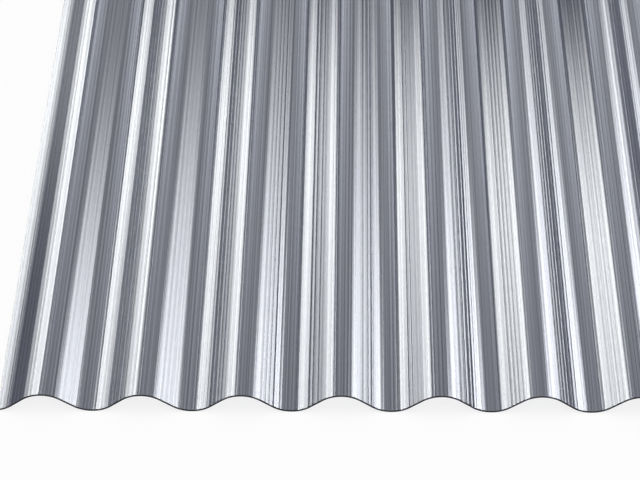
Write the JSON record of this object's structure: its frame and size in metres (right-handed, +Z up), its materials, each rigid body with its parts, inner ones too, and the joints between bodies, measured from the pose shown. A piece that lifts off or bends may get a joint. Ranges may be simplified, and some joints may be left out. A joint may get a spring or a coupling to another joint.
{
  "type": "corrugated polycarbonate sheet",
  "caption": "Translucent smoke-grey corrugated roofing sheet, extruded in one piece with rounded waves along its length, for canopies, carports and lean-to roofs.",
  "frame": {"origin": "under the middle of the sheet, on the floor plane that the valleys rest on", "axes": "+Y along the waves, the long way of the sheet; +X across the waves; +Z up, out of the crests"},
  "size_m": [1.045, 2, 0.019],
  "materials": {
    "smoke_polycarbonate": "clear smoke-grey polycarbonate, glossy on both sides, with fine lengthwise extrusion streaks"
  },
  "bodies": {
    "root": {"corrugated_sheet": "smoke_polycarbonate"}
  },
  "joints": []
}
